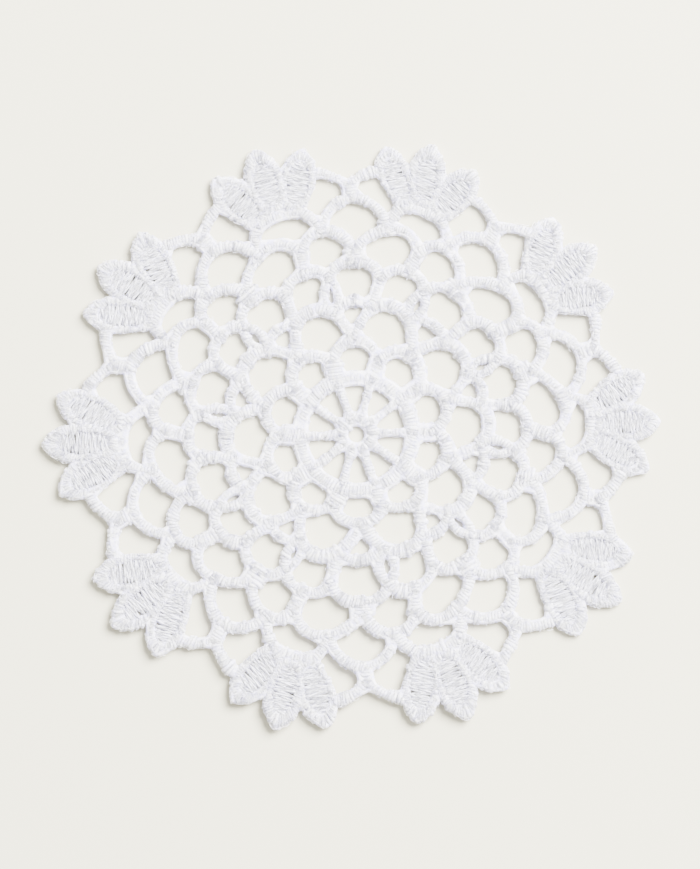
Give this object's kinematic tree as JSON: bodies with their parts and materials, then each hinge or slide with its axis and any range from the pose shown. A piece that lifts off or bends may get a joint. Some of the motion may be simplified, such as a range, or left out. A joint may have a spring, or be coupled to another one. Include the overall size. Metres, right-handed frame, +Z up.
{
  "type": "lace doily",
  "caption": "Small round lace doily: a spoked wheel, tiers of scale-like arches of thread-covered cord, and a scalloped edge of stitched leaf clusters.",
  "frame": {"origin": "middle of the doily's outline box in plan, on the plane of its underside", "axes": "+Z up out of the lace's face, through its thickness; +X to the right and +Y away from the viewer as the doily lies"},
  "size_m": [0.1108, 0.1048, 0.0022],
  "materials": {
    "white_thread": "matt to soft sheen, wound cotton thread"
  },
  "bodies": {
    "root": {"lace_doily": "white_thread"}
  },
  "joints": []
}
